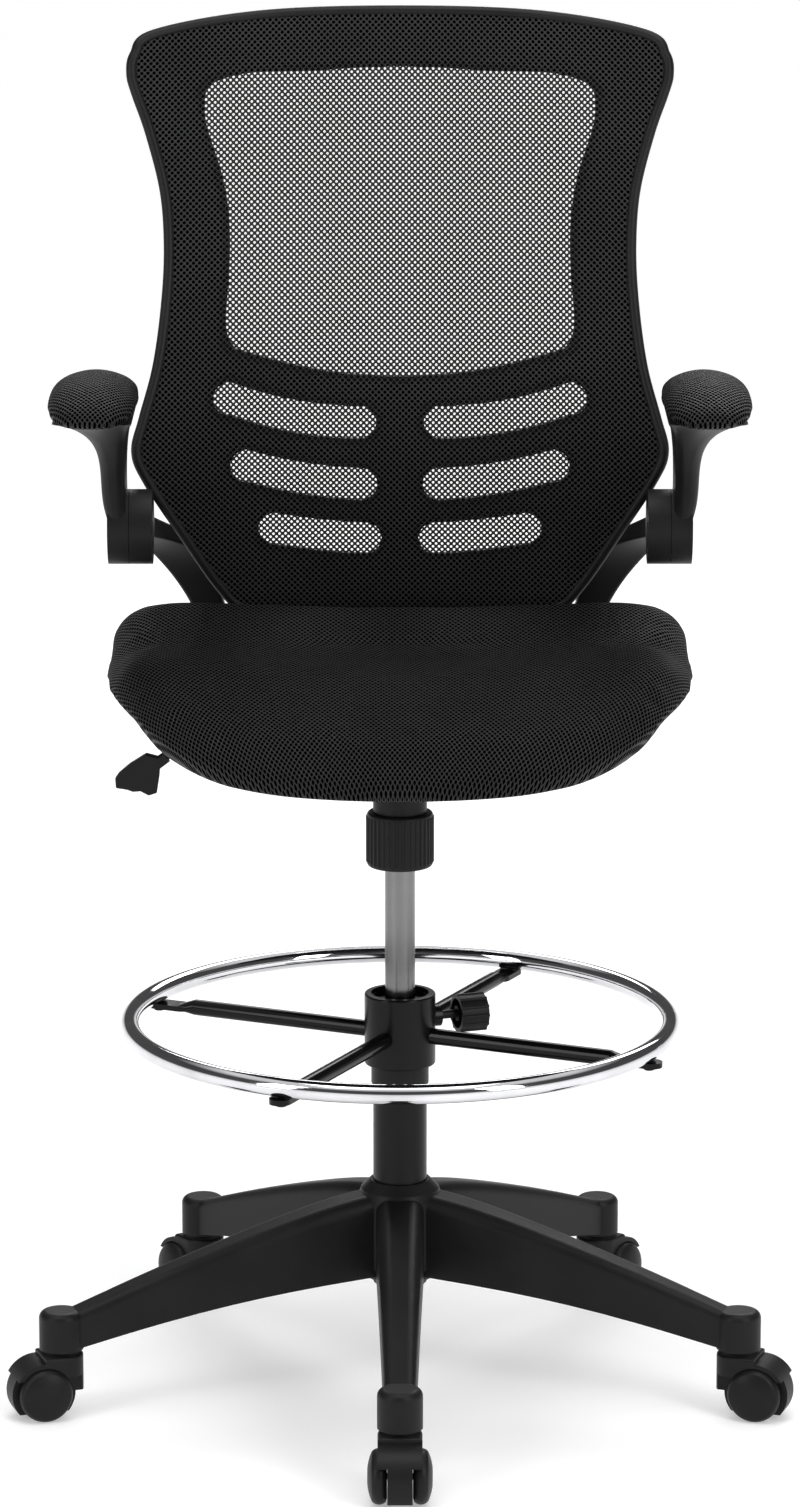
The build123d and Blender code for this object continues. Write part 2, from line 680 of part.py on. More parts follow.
def back_plan(inset):
    """The back's outline seen from the front, drawn inwards by inset."""
    width_scale = 1 - inset / 257
    height_scale = 1 - inset / 286
    side = [
        (x * width_scale, back_middle + (z - back_middle) * height_scale)
        for x, z in back_outline + back_crown
    ]
    sill = back_bottom + inset
    with BuildSketch() as plan:
        with BuildLine():
            outline = Spline(*side, *mirrored(side))
            Line(outline @ 1, (-110, sill))
            Line((-110, sill), (110, sill))
            Line((110, sill), outline @ 0)
        make_face()
    return plan.sketch_local


window_side = window_outline + window_crown
with BuildPart() as window_cutter:
    with BuildSketch(Plane.XZ):
        with BuildLine():
            Spline(*window_side, *mirrored(window_side))
            Spline(*mirrored(window_sill), *window_sill)
        make_face()
    extrude(amount=-600)

with BuildPart() as slot_cutter:
    for (x0, z0), (x1, z1), (x2, z2) in slot_rows:
        h = slot_half_height
        with BuildSketch(Plane.XZ):
            with BuildLine():
                ThreePointArc((x0, z0 + h), (x1, z1 + h), (x2, z2 + h))
                ThreePointArc((x2, z2 + h), (x2 + h, z2 + 3), (x2, z2 - h))
                ThreePointArc((x2, z2 - h), (x1, z1 - h), (x0, z0 - h))
                ThreePointArc((x0, z0 - h), (x0 - h, z0), (x0, z0 + h))
            make_face()
        extrude(amount=-600)
    mirror(about=Plane.YZ)

with BuildPart() as back_shell:
    with BuildSketch(Plane.XZ):
        add(back_plan(trim_width))
    extrude(amount=-600)
    add(back_slab(mesh_thickness + 0.2, mesh_thickness + shell_thickness), mode=Mode.INTERSECT)
    add(window_cutter.part, mode=Mode.SUBTRACT)
    add(slot_cutter.part, mode=Mode.SUBTRACT)
    for side in (-1, 1):
        with BuildSketch(Plane.XZ.offset(-shell_boss_end)):
            with Locations((side * shell_bolt_x, shell_bolt_z)):
                Circle(8)
        extrude(amount=26)
        with BuildSketch(Plane.XZ.offset(-shell_boss_end)):
            with Locations((side * shell_bolt_x, shell_bolt_z)):
                Circle(3)
        extrude(amount=18, mode=Mode.SUBTRACT)
finish(back_shell, "back_shell")

with BuildPart() as back_mesh:
    with BuildSketch(Plane.XZ):
        add(back_plan(trim_width))
    extrude(amount=-600)
    add(back_slab(0, mesh_thickness), mode=Mode.INTERSECT)
finish(back_mesh, "back_mesh")

with BuildPart() as back_trim:
    with BuildSketch(Plane.XZ):
        add(back_plan(0))
        add(back_plan(trim_width), mode=Mode.SUBTRACT)
    extrude(amount=-600)
    add(back_slab(-1.5, mesh_thickness + shell_thickness + 1), mode=Mode.INTERSECT)
finish(back_trim, "back_trim")

# ==== Side brackets ====

bracket_stations = [
    # x, y, z, tangent y, tangent z, width, depth
    (148, 60, 615, 1, 0, 34, 10),
    (150, 130, 615, 1, 0, 34, 10),
    (153, 195, 613, 0.98, 0.15, 33, 9),
    (166, 257, 638, 0.6, 0.8, 30, 14),
    (184, 268, 690, -0.05, 1, 32, 16),
    (204, 254, 735, -0.45, 0.9, 46, 16),
    (230, 217, 768, -0.75, 0.65, 29, 18),
    (240, 164, 791, -0.97, 0.2, 16, 26),
]


def side_bracket(side):
    """Bracket from under the seat, up behind it, to the arm's pivot housing."""
    with BuildPart() as bracket:
        for x, y, z, ty, tz, width, thick in bracket_stations:
            with BuildSketch(Plane(origin=(side * x, y, z), x_dir=(1, 0, 0), z_dir=(0, ty, tz))):
                RectangleRounded(width, thick, 3.5)
        loft()
        with BuildSketch(Plane.YZ.offset(side * (block_inner + block_outer) / 2)):
            with Locations((arm_pivot_y, arm_pivot_z)):
                Circle(arm_block_radius)
        extrude(amount=(block_outer - block_inner) / 2 - 0.15, both=True)
        with BuildSketch(Plane.YZ.offset(side * 200)):
            with Locations((arm_pivot_y, arm_pivot_z)):
                Circle(6)
        extrude(amount=side * 60, mode=Mode.SUBTRACT)
        with BuildSketch(Plane.XZ.offset(-shell_boss_end - soft_gap)):
            with Locations((side * shell_bolt_x, shell_bolt_z)):
                Circle(9)
        extrude(amount=shell_boss_end + soft_gap - shell_bolt_seat)
        with BuildSketch(Plane.XZ.offset(-shell_boss_end)):
            with Locations((side * shell_bolt_x, shell_bolt_z)):
                Circle(3.05)
        extrude(amount=-100, mode=Mode.SUBTRACT)
        with BuildSketch(Plane.XZ.offset(-shell_bolt_seat)):
            with Locations((side * shell_bolt_x, shell_bolt_z)):
                Circle(7)
        extrude(amount=-60, mode=Mode.SUBTRACT)
        with Locations(*[(side * seat_bolt_x, y, 616) for y in seat_bolt_depths]):
            Cylinder(10, board_low - 3 - 616, align=upright)
        with Locations(*[(side * seat_bolt_x, y, 600) for y in seat_bolt_depths]):
            Cylinder(3.05, 40, align=upright, mode=Mode.SUBTRACT)
            Cylinder(7, 12, align=upright, mode=Mode.SUBTRACT)
    return bracket


for side, name in ((-1, "side_bracket_left"), (1, "side_bracket_right")):
    bracket = side_bracket(side)
    finish(bracket, name)

with BuildPart() as bracket_bolts:
    for side in (-1, 1):
        with Locations(*[(side * seat_bolt_x, y, 608) for y in seat_bolt_depths]):
            Cylinder(6, 4, align=upright)
            Cylinder(3, board_low - 3 - 608, align=upright)
        with BuildSketch(Plane.XZ.offset(-shell_bolt_seat)):
            with Locations((side * shell_bolt_x, shell_bolt_z)):
                Circle(6)
        extrude(amount=-4)
        with BuildSketch(Plane.XZ.offset(-shell_bolt_seat)):
            with Locations((side * shell_bolt_x, shell_bolt_z)):
                Circle(3)
        extrude(amount=shell_bolt_seat - 218)
finish(bracket_bolts, "bracket_bolts")

# ==== Arms ====

arm_sections = [
    # z, x inner, x outer, y front, y rear
    (800, 254.5, 272, 103, 167),
    (850, 254.5, 277, 80, 152),
    (884, 251, 283.5, 40, 132),
    (904, 246, 299, -6, 116),
    (921.6, 241, 311, -84, 88),
]


def arm(side):
    """Flip-up arm: a round boss at the pivot, a neck and a flared plate under the pad."""
    with BuildPart() as piece:
        for z, inner, outer, front, rear in arm_sections:
            with BuildSketch(Plane.XY.offset(z)):
                with Locations((side * (inner + outer) / 2, (front + rear) / 2)):
                    RectangleRounded(outer - inner, rear - front, 8)
        loft()
        with BuildSketch(Plane.YZ.offset(side * (block_outer + soft_gap))):
            with Locations((arm_pivot_y, arm_pivot_z)):
                Circle(arm_block_radius)
        extrude(amount=side * (arm_outer - block_outer - soft_gap))
        with BuildSketch(Plane.YZ.offset(side * (block_outer - 5))):
            with Locations((arm_pivot_y, arm_pivot_z)):
                Circle(6 + running_gap)
        extrude(amount=side * 19, mode=Mode.SUBTRACT)
    return piece


def arm_pad(side):
    """Upholstered pad on the arm."""
    with BuildPart() as piece:
        with BuildSketch(Plane.XY.offset(pad_low)):
            with Locations((side * (pad_inner + pad_outer) / 2, (pad_front + pad_rear) / 2)):
                RectangleRounded(pad_outer - pad_inner, pad_rear - pad_front, 36)
        extrude(amount=pad_high - pad_low)
        fillet(piece.faces().sort_by(Axis.Z)[-1].edges(), 14)
        fillet(piece.faces().sort_by(Axis.Z)[0].edges(), 8)
    return piece


for side, name in ((-1, "left"), (1, "right")):
    finish(arm(side), f"arm_{name}")
    finish(arm_pad(side), f"arm_pad_{name}")

with BuildPart() as arm_pins:
    for side in (-1, 1):
        with BuildSketch(Plane.YZ.offset(side * (block_inner + 2))):
            with Locations((arm_pivot_y, arm_pivot_z)):
                Circle(6)
        extrude(amount=side * (block_outer + 11 - block_inner))
finish(arm_pins, "arm_pins")
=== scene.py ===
import bpy
import bmesh
import json
import math
import numpy as np
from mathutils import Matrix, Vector


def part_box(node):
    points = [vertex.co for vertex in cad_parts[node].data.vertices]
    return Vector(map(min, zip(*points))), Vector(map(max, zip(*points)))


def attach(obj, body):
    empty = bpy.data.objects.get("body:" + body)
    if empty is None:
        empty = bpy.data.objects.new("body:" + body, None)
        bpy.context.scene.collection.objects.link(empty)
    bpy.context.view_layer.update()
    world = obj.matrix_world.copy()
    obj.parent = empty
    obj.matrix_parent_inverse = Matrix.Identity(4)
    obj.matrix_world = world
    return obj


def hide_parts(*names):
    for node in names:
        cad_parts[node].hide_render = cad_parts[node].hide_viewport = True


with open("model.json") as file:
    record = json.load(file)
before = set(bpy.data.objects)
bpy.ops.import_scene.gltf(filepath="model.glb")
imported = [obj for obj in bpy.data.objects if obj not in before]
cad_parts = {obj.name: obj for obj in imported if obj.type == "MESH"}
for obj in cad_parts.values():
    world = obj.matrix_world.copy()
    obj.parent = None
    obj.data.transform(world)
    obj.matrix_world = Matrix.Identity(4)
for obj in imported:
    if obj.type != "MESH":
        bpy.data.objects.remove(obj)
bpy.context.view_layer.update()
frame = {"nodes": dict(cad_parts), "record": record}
nodes = frame["nodes"]

# ---------------------------------------------------------------- helpers


def smoothstep(a, b, x):
    """0 below a, 1 above b, and a smooth step between them."""
    t = np.clip((np.asarray(x, float) - a) / (b - a), 0, 1)
    return t * t * (3 - 2 * t)


def catmull(points, closed, per_span):
    """A smooth curve through the points (Catmull-Rom), per_span samples for each span."""
    points = np.asarray(points, float)
    n = len(points)
    spans = n if closed else n - 1
    out = []
    for i in range(spans):
        if closed:
            p = [points[(i + k) % n] for k in (-1, 0, 1, 2)]
        else:
            p = [points[min(max(i + k, 0), n - 1)] for k in (-1, 0, 1, 2)]
        for t in np.linspace(0, 1, per_span, endpoint=False):
            out.append(
                0.5 * (2 * p[1] + (p[2] - p[0]) * t + (2 * p[0] - 5 * p[1] + 4 * p[2] - p[3]) * t * t
                       + (3 * p[1] - p[0] - 3 * p[2] + p[3]) * t ** 3)
            )
    if not closed:
        out.append(points[-1])
    return np.array(out)


def new_object(name, verts, faces, smooth=True):
    """A mesh object from vertices and faces, linked to the scene."""
    mesh = bpy.data.meshes.new(name)
    mesh.from_pydata([tuple(v) for v in verts], [], [tuple(f) for f in faces])
    mesh.validate()
    bm = bmesh.new()
    bm.from_mesh(mesh)
    bmesh.ops.recalc_face_normals(bm, faces=bm.faces)
    bm.to_mesh(mesh)
    bm.free()
    mesh.polygons.foreach_set("use_smooth", [smooth] * len(mesh.polygons))
    obj = bpy.data.objects.new(name, mesh)
    bpy.context.scene.collection.objects.link(obj)
    return obj


def coordinates(obj):
    """The object's vertices as an array of (x, y, z)."""
    co = np.empty(3 * len(obj.data.vertices))
    obj.data.vertices.foreach_get("co", co)
    return co.reshape(-1, 3)


def set_coordinates(obj, co):
    """Move the object's vertices to the rows of an array of (x, y, z)."""
    obj.data.vertices.foreach_set("co", co.ravel())


def apply_modifiers(obj):
    """Replace the object's mesh with its evaluated mesh and drop its modifiers."""
    graph = bpy.context.evaluated_depsgraph_get()
    mesh = bpy.data.meshes.new_from_object(obj.evaluated_get(graph))
    obj.modifiers.clear()
    obj.data = mesh


def ring_tube(name, path, radius, sides):
    """A round tube along a closed path of points."""
    path = np.asarray(path, float)
    n = len(path)
    verts, faces = [], []
    up = None
    for i in range(n):
        tangent = Vector(path[(i + 1) % n] - path[(i - 1) % n]).normalized()
        if up is None:
            up = tangent.orthogonal().normalized()
        side = tangent.cross(up).normalized()
        up = side.cross(tangent).normalized()
        for k in range(sides):
            a = 2 * math.pi * k / sides
            verts.append(Vector(path[i]) + radius * (math.cos(a) * up + math.sin(a) * side))
    for i in range(n):
        for k in range(sides):
            a, b = i * sides, ((i + 1) % n) * sides
            faces.append((a + k, a + (k + 1) % sides, b + (k + 1) % sides, b + k))
    return new_object(name, verts, faces)


# ---------------------------------------------------------------- materials


class Shader:
    """A small builder for one node material."""

    def __init__(self, name):
        self.material = bpy.data.materials.new(name)
        self.material.use_nodes = True
        self.tree = self.material.node_tree
        self.surface = self.tree.nodes["Principled BSDF"]

    def node(self, kind, **values):
        made = self.tree.nodes.new(kind)
        for key, value in values.items():
            if hasattr(made, key):
                setattr(made, key, value)
            else:
                made.inputs[key.replace("_", " ")].default_value = value
        return made

    def link(self, out, into):
        self.tree.links.new(out, into)

    def set(self, **values):
        for key, value in values.items():
            self.surface.inputs[key.replace("_", " ")].default_value = value

    def math(self, operation, a, b=None, c=None):
        made = self.tree.nodes.new("ShaderNodeMath")
        made.operation = operation
        for i, value in enumerate((a, b, c)):
            if value is None:
                continue
            if isinstance(value, (int, float)):
                made.inputs[i].default_value = value
            else:
                self.link(value, made.inputs[i])
        return made.outputs[0]

    def ramp(self, factor, stops):
        made = self.tree.nodes.new("ShaderNodeValToRGB")
        elements = made.color_ramp.elements
        while len(elements) < len(stops):
            elements.new(0.5)
        for element, (place, colour) in zip(elements, stops):
            element.position = place
            element.color = (*colour, 1)
        self.link(factor, made.inputs[0])
        return made.outputs[0]

    def bump(self, height, distance, strength=1.0, below=None):
        made = self.tree.nodes.new("ShaderNodeBump")
        made.inputs["Distance"].default_value = distance
        made.inputs["Strength"].default_value = strength
        self.link(height, made.inputs["Height"])
        if below:
            self.link(below, made.inputs["Normal"])
        return made.outputs[0]

    def place(self):
        return self.tree.nodes.new("ShaderNodeTexCoord").outputs["Object"]


def grey(value, tint=0.0):
    return (value, value, value * (1 + tint))


def moulded(name, dark, light, roughness, grain, depth):
    """Moulded plastic: fine spark-eroded grain, slow colour drift and a slightly uneven gloss."""
    s = Shader(name)
    place = s.place()
    fine = s.node("ShaderNodeTexVoronoi", Scale=grain, feature="SMOOTH_F1")
    broad = s.node("ShaderNodeTexNoise", Scale=14.0, Detail=4.0)
    for texture in (fine, broad):
        s.link(place, texture.inputs["Vector"])
    s.link(s.ramp(broad.outputs["Fac"], [(0.3, dark), (0.72, light)]), s.surface.inputs["Base Color"])
    gloss = s.math("MULTIPLY_ADD", broad.outputs["Fac"], 0.12, roughness - 0.06)
    s.link(gloss, s.surface.inputs["Roughness"])
    s.link(s.bump(fine.outputs["Distance"], depth, 0.6), s.surface.inputs["Normal"])
    s.set(Specular_IOR_Level=0.16)
    return s.material


def painted(name, colour, roughness, peel):
    """Powder coat or enamel on steel: faint orange peel under a clear gloss."""
    s = Shader(name)
    place = s.place()
    noise = s.node("ShaderNodeTexNoise", Scale=420.0, Detail=2.0)
    drift = s.node("ShaderNodeTexNoise", Scale=25.0, Detail=3.0)
    for texture in (noise, drift):
        s.link(place, texture.inputs["Vector"])
    lighter = tuple(1.35 * c for c in colour)
    s.link(s.ramp(drift.outputs["Fac"], [(0.35, colour), (0.7, lighter)]), s.surface.inputs["Base Color"])
    gloss = s.math("MULTIPLY_ADD", drift.outputs["Fac"], 0.1, roughness - 0.05)
    s.link(gloss, s.surface.inputs["Roughness"])
    s.link(s.bump(noise.outputs["Fac"], peel, 0.5), s.surface.inputs["Normal"])
    s.set(Specular_IOR_Level=0.13, Coat_Weight=0.06, Coat_Roughness=0.08)
    return s.material


def bare_metal(name, colour, roughness, streak, depth):
    """Plated or ground metal: fine circumferential finish lines and slight stains."""
    s = Shader(name)
    place = s.place()
    stretch = s.node("ShaderNodeMapping")
    stretch.inputs["Scale"].default_value = (1, 1, streak)
    s.link(place, stretch.inputs["Vector"])
    lines = s.node("ShaderNodeTexNoise", Scale=60.0, Detail=6.0)
    s.link(stretch.outputs[0], lines.inputs["Vector"])
    stain = s.node("ShaderNodeTexNoise", Scale=18.0, Detail=4.0)
    s.link(place, stain.inputs["Vector"])
    darker = tuple(0.82 * c for c in colour)
    s.link(s.ramp(stain.outputs["Fac"], [(0.3, darker), (0.65, colour)]), s.surface.inputs["Base Color"])
    gloss = s.math("MULTIPLY_ADD", lines.outputs["Fac"], 0.1, roughness - 0.05)
    s.link(gloss, s.surface.inputs["Roughness"])
    s.link(s.bump(lines.outputs["Fac"], depth, 0.4), s.surface.inputs["Normal"])
    s.set(Metallic=1.0)
    return s.material


def plywood(name):
    """Dark-stained ply: long grain with thin darker figure."""
    s = Shader(name)
    grain = s.node("ShaderNodeTexWave", Scale=38.0, Distortion=5.0, Detail=4.0)
    s.link(s.place(), grain.inputs["Vector"])
    s.link(
        s.ramp(grain.outputs["Fac"], [(0.0, (0.09, 0.055, 0.03)), (1.0, (0.16, 0.11, 0.065))]),
        s.surface.inputs["Base Color"],
    )
    s.link(s.bump(grain.outputs["Fac"], 0.0002), s.surface.inputs["Normal"])
    s.set(Roughness=0.6)
    return s.material


# levels of the lattice: open hole above the first, solid yarn below the second
OPEN_ABOVE = 0.56
YARN_BELOW = 0.2


def knitted(name, pitch, thread, gap, relief):
    """Knitted mesh: yarn in a diagonal lattice around rows of small holes, which are coloured near black as
    painted shade for the shade inside them.
    The lattice follows each piece's own "weave" attribute: its cloth laid flat, in metres."""
    s = Shader(name)
    source = s.tree.nodes.new("ShaderNodeAttribute")
    source.attribute_name = "weave"
    place = source.outputs["Vector"]
    split = s.tree.nodes.new("ShaderNodeSeparateXYZ")
    s.link(place, split.inputs[0])
    u, v = split.outputs["X"], split.outputs["Y"]
    turn = math.pi / pitch
    one = s.math("SINE", s.math("MULTIPLY", s.math("ADD", u, v), turn))
    two = s.math("SINE", s.math("MULTIPLY", s.math("SUBTRACT", u, v), turn))
    hole = s.math("MULTIPLY", s.math("ABSOLUTE", one), s.math("ABSOLUTE", two))
    yarn = s.node("ShaderNodeTexNoise", Scale=1100.0, Detail=3.0)
    s.link(place, yarn.inputs["Vector"])
    worn = s.node("ShaderNodeTexNoise", Scale=9.0, Detail=3.0)
    s.link(place, worn.inputs["Vector"])
    solid = s.tree.nodes.new("ShaderNodeMapRange")
    solid.interpolation_type = "SMOOTHSTEP"
    solid.inputs["From Min"].default_value = OPEN_ABOVE
    solid.inputs["From Max"].default_value = YARN_BELOW
    s.link(hole, solid.inputs["Value"])
    solid = solid.outputs["Result"]
    wear = s.math("MULTIPLY_ADD", worn.outputs["Fac"], 0.5, 0.4)
    uneven = s.math("MULTIPLY_ADD", yarn.outputs["Fac"], 0.5, wear)
    tone_with_hole_shade = s.math("MULTIPLY", solid, uneven)
    # painted shade: the gap colour makes the holes near black for the shade inside them, and their specular
    # falls away with it; the yarn's tone varies at random
    s.link(s.ramp(tone_with_hole_shade, [(0.05, gap), (0.95, thread)]), s.surface.inputs["Base Color"])
    s.link(s.math("MULTIPLY", tone_with_hole_shade, 0.22), s.surface.inputs["Specular IOR Level"])
    weave = s.bump(s.math("SUBTRACT", 1.0, hole), relief)
    s.link(s.bump(yarn.outputs["Fac"], relief * 0.2, 0.6, below=weave), s.surface.inputs["Normal"])
    s.set(Roughness=0.55)
    return s.material


# the distance between holes in a row, in the back's mesh and in the cushions' fabric
MESH_PITCH = 0.0057
SPACER_PITCH = 0.0052

materials = {
    "black_nylon": moulded("black_nylon", grey(0.007), grey(0.0115, 0.03), 0.44, 1400.0, 0.00012),
    "caster_tread": moulded("caster_tread", grey(0.007), grey(0.012), 0.42, 900.0, 0.00006),
    "black_satin_steel": painted("black_satin_steel", grey(0.004), 0.3, 0.00005),
    "black_gloss_steel": painted("black_gloss_steel", grey(0.0028), 0.16, 0.00003),
    "cylinder_steel": bare_metal("cylinder_steel", grey(0.2), 0.24, 14.0, 0.00002),
    "zinc_steel": bare_metal("zinc_steel", grey(0.5, 0.04), 0.34, 6.0, 0.00003),
    "ring_chrome": bare_metal("ring_chrome", grey(0.78, 0.03), 0.06, 3.0, 0.00001),
    "acetal": moulded("acetal", grey(0.006), grey(0.01), 0.42, 600.0, 0.00003),
    "plywood": plywood("plywood"),
    # the second colour of each knitted fabric is painted shade: near black for the shade inside its holes
    "spacer_mesh": knitted("spacer_mesh", SPACER_PITCH, grey(0.014, 0.03), grey(0.0003), 0.0008),
    "back_mesh": knitted("back_mesh", MESH_PITCH, grey(0.02, 0.03), grey(0.0006), 0.0006),
}
for entry in frame["record"]["subparts"]:
    cad = nodes[entry["node"]]
    cad.data.materials.clear()
    cad.data.materials.append(materials[entry["material_slot"]])
# the photograph shows the lever's rod as dark as its handle; its slot in the record is a bare steel
nodes["lift_lever_rod"].data.materials[0] = materials["black_satin_steel"]


def dress(obj, slot_name, body):
    """Give a new piece the material of a record slot and the body that it rides on."""
    obj.data.materials.clear()
    obj.data.materials.append(materials[slot_name])
    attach(obj, body)


def write_weave(obj, flat):
    """Store where each vertex lies on the flat cloth."""
    layer = obj.data.attributes.new("weave", "FLOAT_VECTOR", "POINT")
    layer.data.foreach_set("vector", np.c_[flat, np.zeros(len(flat))].ravel())


HOLE_STRETCH = 0.55
NEAREST_REACH = 0.02


def weave_coordinates(obj, centre, top, drop_share=1.0):
    """Lay the weave flat: a point moves out from the centre by a share of its drop below the top.
    The holes are longer from front to back, by one over HOLE_STRETCH."""
    co = coordinates(obj)
    away = co[:, :2] - np.array(centre)
    reach = np.maximum(np.linalg.norm(away, axis=1), 1e-6)
    drop = np.clip(top - co[:, 2], 0, None)
    flat = away * (1 + drop_share * drop / np.maximum(reach, NEAREST_REACH))[:, None]
    write_weave(obj, flat * (1, HOLE_STRETCH))


# ---------------------------------------------------------------- padded pieces


CLOTH_PRESSURE = 4.0
CLOTH_FRAMES = 20


def inflate(obj, voxel, cap, held_below):
    """Remesh a form, blow it up a little as cloth, cap the movement and keep its plan size.
    Vertices lower than held_below stay where they are while the cloth moves."""
    remesh = obj.modifiers.new("remesh", "REMESH")
    remesh.mode = "VOXEL"
    remesh.voxel_size = voxel
    remesh.use_smooth_shade = True
    apply_modifiers(obj)
    start = coordinates(obj)
    cloth = obj.modifiers.new("cloth", "CLOTH")
    cloth.settings.use_pressure = True
    cloth.settings.uniform_pressure_force = CLOTH_PRESSURE
    cloth.settings.effector_weights.gravity = 0
    cloth.settings.quality = 5
    cloth.settings.mass = 0.3
    cloth.settings.tension_stiffness = 25
    cloth.settings.compression_stiffness = 25
    cloth.settings.bending_stiffness = 2
    group = obj.vertex_groups.new(name="held")
    group.add([int(i) for i in np.nonzero(start[:, 2] < held_below)[0]], 1.0, "REPLACE")
    cloth.settings.vertex_group_mass = "held"
    scene = bpy.context.scene
    cloth.point_cache.frame_start = 1
    cloth.point_cache.frame_end = CLOTH_FRAMES
    for number in range(1, CLOTH_FRAMES + 1):
        scene.frame_set(number)
    apply_modifiers(obj)
    scene.frame_set(1)
    shift = coordinates(obj) - start
    length = np.maximum(np.linalg.norm(shift, axis=1), 1e-9)
    shift *= np.minimum(1, cap / length)[:, None]
    blown = start + shift
    for axis in (0, 1):
        line = blown[:, axis]
        blown[:, axis] = np.interp(
            line, (line.min(), line.max()), (start[:, axis].min(), start[:, axis].max())
        )
    set_coordinates(obj, blown)
    smooth = obj.modifiers.new("smooth", "SMOOTH")
    smooth.factor = 0.5
    smooth.iterations = 6
    fine = obj.modifiers.new("fine", "SUBSURF")
    fine.levels = 1
    fine.render_levels = 1
    apply_modifiers(obj)
    obj.data.polygons.foreach_set("use_smooth", [True] * len(obj.data.polygons))


def closed_form(name, outline, profile, low, high):
    """A padded form: rings of a profile, from the underside's centre to the top's centre.
    outline is the plan (x, y); a profile step is (share of the plan, share of the height)."""
    centre = outline.mean(0)
    count = len(outline)
    verts, faces = [], []
    for share, rise in profile[1:-1]:
        for x, y in centre + (outline - centre) * share:
            base, top = low(x, y), high(x, y)
            verts.append((x, y, base + rise * (top - base)))
    base, top = low(*centre), high(*centre)
    for _, rise in (profile[0], profile[-1]):
        verts.append((*centre, base + rise * (top - base)))
    rings = len(profile) - 2
    first, last = len(verts) - 2, len(verts) - 1
    for ring in range(rings - 1):
        for k in range(count):
            a, b = ring * count, (ring + 1) * count
            faces.append((a + k, a + (k + 1) % count, b + (k + 1) % count, b + k))
    for k in range(count):
        faces.append((first, (k + 1) % count, k))
        top_ring = (rings - 1) * count
        faces.append((last, top_ring + k, top_ring + (k + 1) % count))
    return new_object(name, verts, faces)


# ---- seat cushion
seat_low, seat_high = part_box("seat_cushion")
seat_half = seat_high.x
plan_side = [
    (0.0, 0.0), (0.3, 0.022), (0.55, 0.075), (0.76, 0.165), (0.9, 0.3), (0.975, 0.45),
    (1.0, 0.6), (1.0, 0.76), (0.985, 0.9), (0.93, 0.972), (0.8, 0.998), (0.4, 1.0),
]
seat_depth = seat_high.y - seat_low.y
right_half = [(x * seat_half, seat_low.y + t * seat_depth) for x, t in plan_side]
left_half = [(-x, y) for x, y in reversed(right_half[1:])]
seat_plan = catmull(right_half + left_half, True, 8)


SIDE_LIFT = 0.081
SIDE_POWER = 4.7
MOST_LIFT = 0.044


def seat_underside(x, y):
    """Nearly flat under the board, then rising towards both sides."""
    across = np.abs(x) / seat_half
    return seat_low.z + np.minimum(SIDE_LIFT * across ** SIDE_POWER, MOST_LIFT)


# the spans are shares of the seat's depth, from its front edge
TOP_TUCK = 0.002
FRONT_FALL, FRONT_SPAN = 0.042, (-0.1, 0.5)
DISH_DEPTH, DISH_CENTRE_Y = 0.012, 0.03
DISH_SPREAD_X, DISH_SPREAD_Y = 0.15, 0.13
REAR_ROLL, REAR_SPAN = 0.014, (0.62, 0.95)


def seat_top(x, y):
    """A shallow dish behind a waterfall front, with the rear edge kept full."""
    ahead = (y - seat_low.y) / seat_depth
    fall = FRONT_FALL * (1 - float(smoothstep(*FRONT_SPAN, ahead)))
    dish = DISH_DEPTH * math.exp(
        -((x / DISH_SPREAD_X) ** 2) - ((y - DISH_CENTRE_Y) / DISH_SPREAD_Y) ** 2
    )
    rear_roll = REAR_ROLL * float(smoothstep(*REAR_SPAN, ahead))
    return seat_high.z - TOP_TUCK - fall - dish + rear_roll


seat_profile = [
    (0, 0), (0.4, 0), (0.75, 0), (0.87, 0.01), (0.94, 0.07), (0.98, 0.2), (0.996, 0.38),
    (0.986, 0.57), (0.958, 0.74), (0.914, 0.87), (0.85, 0.95), (0.76, 0.985), (0.55, 1), (0.3, 1), (0, 1),
]
cushion = closed_form("seat_cushion_fabric", seat_plan, seat_profile, seat_underside, seat_top)
inflate(cushion, voxel=0.005, cap=0.007, held_below=seat_low.z + 0.006)
settled = coordinates(cushion)
settled[:, 2] = np.maximum(settled[:, 2], seat_underside(settled[:, 0], settled[:, 1]))
set_coordinates(cushion, settled)
weave_coordinates(cushion, (0, 0), seat_high.z)
dress(cushion, "spacer_mesh", "seat")
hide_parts("seat_cushion")

# ---- arm pads


PAD_SQUARENESS = 2.7


